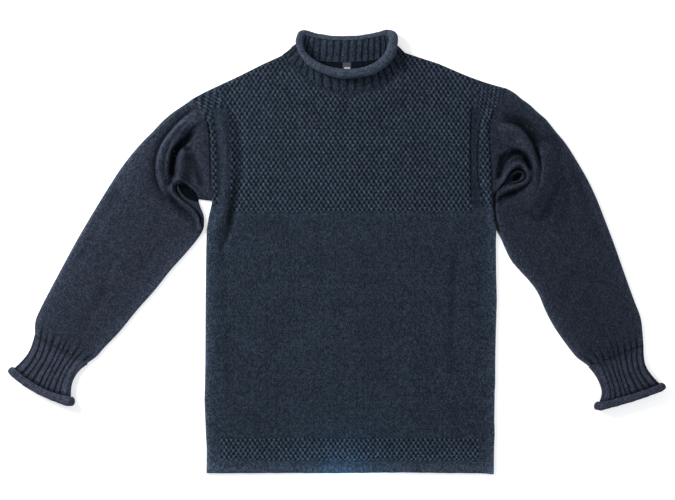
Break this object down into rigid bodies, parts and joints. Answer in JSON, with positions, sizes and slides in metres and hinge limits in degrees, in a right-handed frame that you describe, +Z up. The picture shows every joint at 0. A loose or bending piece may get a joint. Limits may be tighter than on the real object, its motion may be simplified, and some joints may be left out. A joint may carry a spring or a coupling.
{
  "type": "guernsey sweater",
  "caption": "Knitted guernsey sweater laid flat front side up, with a moss-stitch yoke and hem band, ribbed neck and cuffs with rolled edges, and long sleeves.",
  "frame": {"origin": "on the underside of the back panel, on the surface that the sweater lies on, near the middle of the body", "axes": "+X across the garment from cuff to cuff, +Y from the hem to the neck, +Z up from the surface, out of the front panel. Left is negative X, as seen from above"},
  "size_m": [1.1477, 0.7755, 0.0338],
  "materials": {
    "plain_knit": "matt wool, plain knitting",
    "patterned_knit": "matt wool, moss-stitch yoke and band with plain knitting between",
    "rib_knit": "matt wool, two-by-two ribbing",
    "rolled_knit": "matt wool, plain knitting curled on itself",
    "label": "woven tab, dark, with a small plain pale mark"
  },
  "bodies": {
    "root": {"back": "plain_knit", "front": "patterned_knit", "sleeve_left": "plain_knit", "sleeve_right": "plain_knit", "collar": "rib_knit", "neck_roll": "rolled_knit", "cuff_left": "rib_knit", "cuff_right": "rib_knit", "cuff_roll_left": "rolled_knit", "cuff_roll_right": "rolled_knit", "neck_label": "label"}
  },
  "joints": []
}
